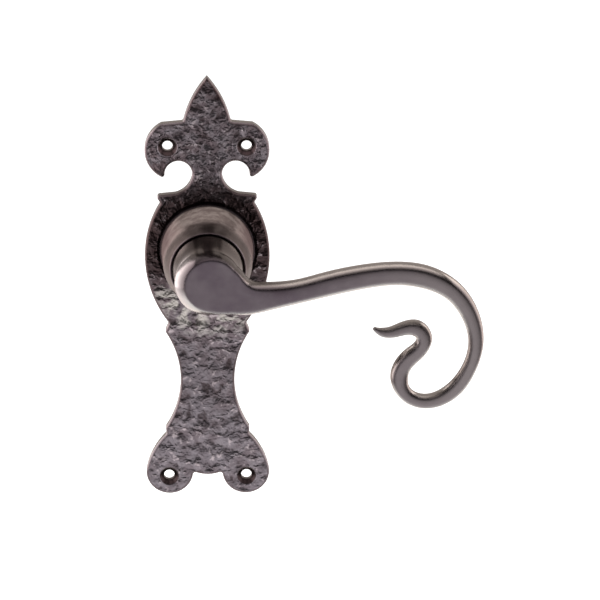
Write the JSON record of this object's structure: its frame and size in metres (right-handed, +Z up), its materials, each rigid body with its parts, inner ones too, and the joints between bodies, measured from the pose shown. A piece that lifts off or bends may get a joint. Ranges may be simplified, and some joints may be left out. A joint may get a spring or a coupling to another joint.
{
  "type": "door lever handle",
  "caption": "Cast-iron door lever handle: curled monkey-tail lever on a turned boss, on a textured fleur-de-lis backplate with countersunk fixing holes; sprung, with square spindle.",
  "frame": {"origin": "on the spindle's axis, in the plane of the door's face (the backplate's flat back)", "axes": "+Z up along the backplate, +Y into the door, -Y faces the user, +X along the lever at rest"},
  "size_m": [0.1323, 0.1116, 0.1746],
  "materials": {
    "black_iron": "antique black, rough cast, waxed",
    "lever_iron": "antique black, smooth, satin",
    "bronze": "turned bronze",
    "acetal": "black acetal",
    "plated_steel": "zinc plated",
    "spring_steel": "oiled spring steel",
    "dark_steel": "black oxide"
  },
  "bodies": {
    "plate": {"backplate": "black_iron", "neck_bush": "bronze", "neck_washer": "acetal", "return_spring": "spring_steel"},
    "handle": {"lever": "lever_iron", "return_cam": "plated_steel", "spring_washer": "spring_steel", "circlip": "spring_steel", "spindle": "plated_steel", "grub_screw": "dark_steel"}
  },
  "joints": [
    {"name": "lever_turn", "type": "hinge", "parent": "plate", "child": "handle", "pos_m": [0, 0, 0], "axis": [0, 1, 0], "range_deg": [0, 48], "stiffness_Nm_per_rad": 0.8, "springref_deg": -28.65, "deforming": ["return_spring"]}
  ]
}
